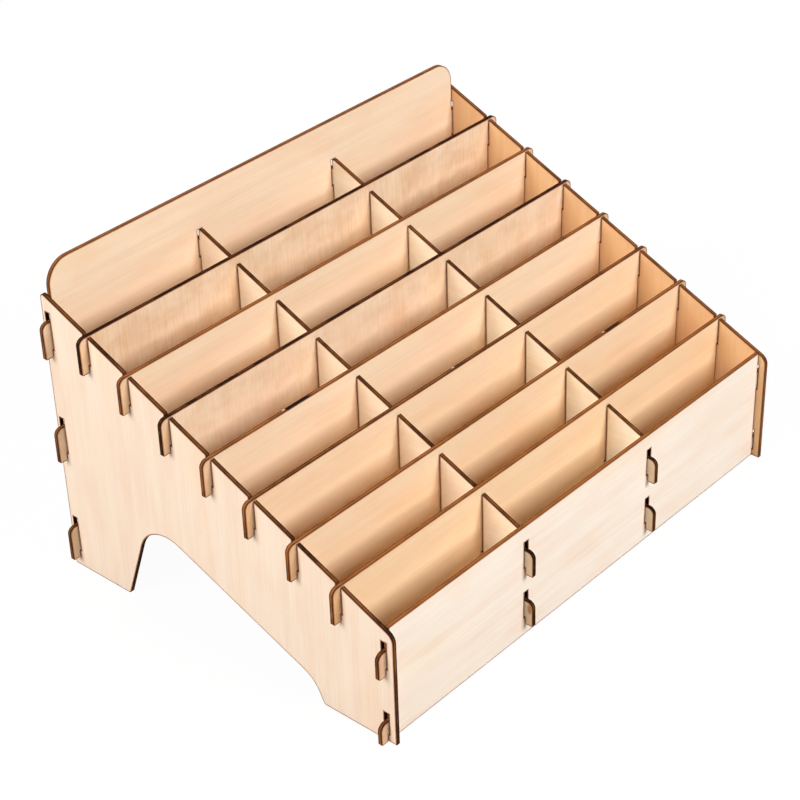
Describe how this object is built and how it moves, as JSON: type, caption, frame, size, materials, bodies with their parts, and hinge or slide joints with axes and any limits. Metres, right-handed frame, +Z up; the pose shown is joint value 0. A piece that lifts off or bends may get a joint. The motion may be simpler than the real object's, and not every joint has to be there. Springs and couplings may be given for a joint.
{
  "type": "paint rack",
  "caption": "Slanted desktop rack of slotted plywood boards: rows of open compartments step down to the front between two arched side panels, for paint pots and bottles.",
  "frame": {"origin": "middle of the rack's bounding box, on the surface that its feet stand on", "axes": "+X to the rack's right, +Y to its high back, +Z up"},
  "size_m": [0.4136, 0.2966, 0.2344],
  "materials": {
    "plywood": "unfinished pale veneer with laser-charred brown edges",
    "plywood_figured": "unfinished curly pinkish veneer with nearly black laser-charred edges"
  },
  "bodies": {
    "root": {"side_panel_left": "plywood", "side_panel_right": "plywood", "front_panel": "plywood", "back_panel": "plywood", "cross_divider_1": "plywood_figured", "cross_divider_2": "plywood", "cross_divider_3": "plywood_figured", "cross_divider_4": "plywood", "cross_divider_5": "plywood", "cross_divider_6": "plywood", "cross_divider_7": "plywood", "long_divider_1": "plywood", "long_divider_2": "plywood", "floor_board": "plywood"}
  },
  "joints": []
}
